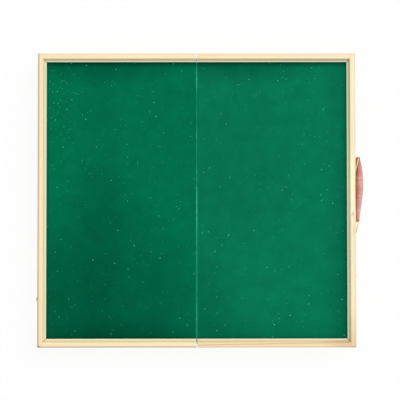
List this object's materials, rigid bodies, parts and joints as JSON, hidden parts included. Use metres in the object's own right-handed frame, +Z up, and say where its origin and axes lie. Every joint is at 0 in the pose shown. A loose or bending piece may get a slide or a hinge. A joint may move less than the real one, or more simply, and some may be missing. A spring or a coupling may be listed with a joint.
{
  "type": "folding game board case",
  "caption": "Folding wooden mahjong board: two felt covered halves with raised rails, hinged below into a carrying case.",
  "frame": {"origin": "on the table, under the middle of the opened board with its handle and hooks", "axes": "+X from the left half to the half with the handle, +Y from the near edge to the far edge, +Z up from the table"},
  "size_m": [0.6616, 0.588, 0.0432],
  "materials": {
    "rail_wood": "pale pine, clear satin varnish",
    "trim_wood": "pale moulding, clear satin varnish",
    "inner_wood": "planed pine, unfinished",
    "plywood": "thin plywood, unfinished below",
    "green_felt": "green baize with a short nap",
    "brass": "polished brass, lightly worn",
    "hinge_steel": "plated steel",
    "latch_steel": "nickel plated, dulled",
    "handle_leather": "red brown leather, creased",
    "grip_filling": "firm filling, unseen",
    "foot_rubber": "black rubber"
  },
  "bodies": {
    "left_half": {"left_outer_wall": "rail_wood", "left_far_wall": "rail_wood", "left_near_wall": "rail_wood", "left_seam_wall": "inner_wood", "left_centre_rib": "inner_wood", "left_corner_blocks": "inner_wood", "left_feet": "foot_rubber", "left_panel": "plywood", "left_felt": "green_felt", "left_outer_trim": "trim_wood", "left_far_trim": "trim_wood", "left_near_trim": "trim_wood", "left_hinge_screws": "hinge_steel", "far_hinge_left_leaf": "hinge_steel", "near_hinge_left_leaf": "hinge_steel", "far_hinge_pin": "hinge_steel", "near_hinge_pin": "hinge_steel", "far_hook_washer": "latch_steel", "near_hook_washer": "latch_steel", "far_hook_screw": "latch_steel", "near_hook_screw": "latch_steel"},
    "right_half": {"right_outer_wall": "rail_wood", "right_far_wall": "rail_wood", "right_near_wall": "rail_wood", "right_seam_wall": "inner_wood", "right_centre_rib": "inner_wood", "right_corner_blocks": "inner_wood", "right_feet": "foot_rubber", "right_panel": "plywood", "right_felt": "green_felt", "right_outer_trim": "trim_wood", "right_far_trim": "trim_wood", "right_near_trim": "trim_wood", "right_hinge_screws": "hinge_steel", "far_hinge_right_leaf": "hinge_steel", "near_hinge_right_leaf": "hinge_steel", "far_handle_plate": "brass", "near_handle_plate": "brass", "far_plate_screws": "brass", "near_plate_screws": "brass", "far_latch_stud": "latch_steel", "near_latch_stud": "latch_steel"},
    "far_ring": {"far_ring": "brass"},
    "near_ring": {"near_ring": "brass"},
    "grip": {"grip_leather": "handle_leather", "grip_core": "grip_filling"},
    "far_hook": {"far_hook": "latch_steel"},
    "near_hook": {"near_hook": "latch_steel"}
  },
  "joints": [
    {"name": "board_fold", "type": "hinge", "parent": "left_half", "child": "right_half", "pos_m": [-0.00655, 0, 0.003], "axis": [0, 1, 0], "range_deg": [0, 180]},
    {"name": "handle_swing", "type": "hinge", "parent": "right_half", "child": "far_ring", "pos_m": [0.31395, 0.06, 0.0212], "axis": [0, 0, -1], "range_deg": [0, 153.2]},
    {"name": "near_ring_swing", "type": "hinge", "parent": "right_half", "child": "near_ring", "pos_m": [0.31395, -0.066, 0.0212], "axis": [0, 0, -1], "range_deg": [0, 153.2]},
    {"name": "grip_swing", "type": "hinge", "parent": "far_ring", "child": "grip", "pos_m": [0.31974, 0.08432, 0.0212], "axis": [0, 0, -1], "range_deg": [-153.2, 0]},
    {"name": "near_hook_swing", "type": "hinge", "parent": "left_half", "child": "near_hook", "pos_m": [-0.32565, -0.152, 0.021], "axis": [1, 0, 0], "range_deg": [-90, 90]},
    {"name": "far_hook_swing", "type": "hinge", "parent": "left_half", "child": "far_hook", "pos_m": [-0.32565, 0.152, 0.021], "axis": [-1, 0, 0], "range_deg": [-106, 74]}
  ],
  "couplings": [
    {"joint": "near_ring_swing", "follows": "handle_swing", "ratio": 1},
    {"joint": "grip_swing", "follows": "handle_swing", "ratio": -1}
  ]
}
